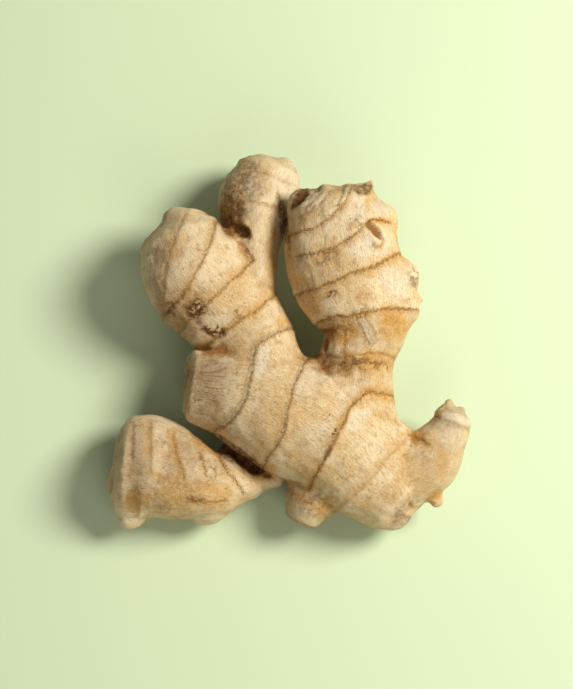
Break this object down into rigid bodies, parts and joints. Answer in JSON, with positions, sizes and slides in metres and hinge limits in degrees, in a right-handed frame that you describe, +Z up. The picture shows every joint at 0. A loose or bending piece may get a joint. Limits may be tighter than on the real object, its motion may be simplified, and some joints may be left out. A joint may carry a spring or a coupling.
{
  "type": "ginger root",
  "caption": "Fresh ginger root lying flat: a thick pale tan body with plump ringed fingers, small buds and broken ends spread out in the plane of the table.",
  "frame": {"origin": "on the table, under the middle of the root's bounding box", "axes": "+Z up from the table, +Y along the longest side of the hand, from the broken lower end to the upper fingers, +X to the side of the small upturned finger"},
  "size_m": [0.1299, 0.137, 0.0468],
  "materials": {
    "skin": "matt, dry, papery"
  },
  "bodies": {
    "root": {"rhizome": "skin"}
  },
  "joints": []
}
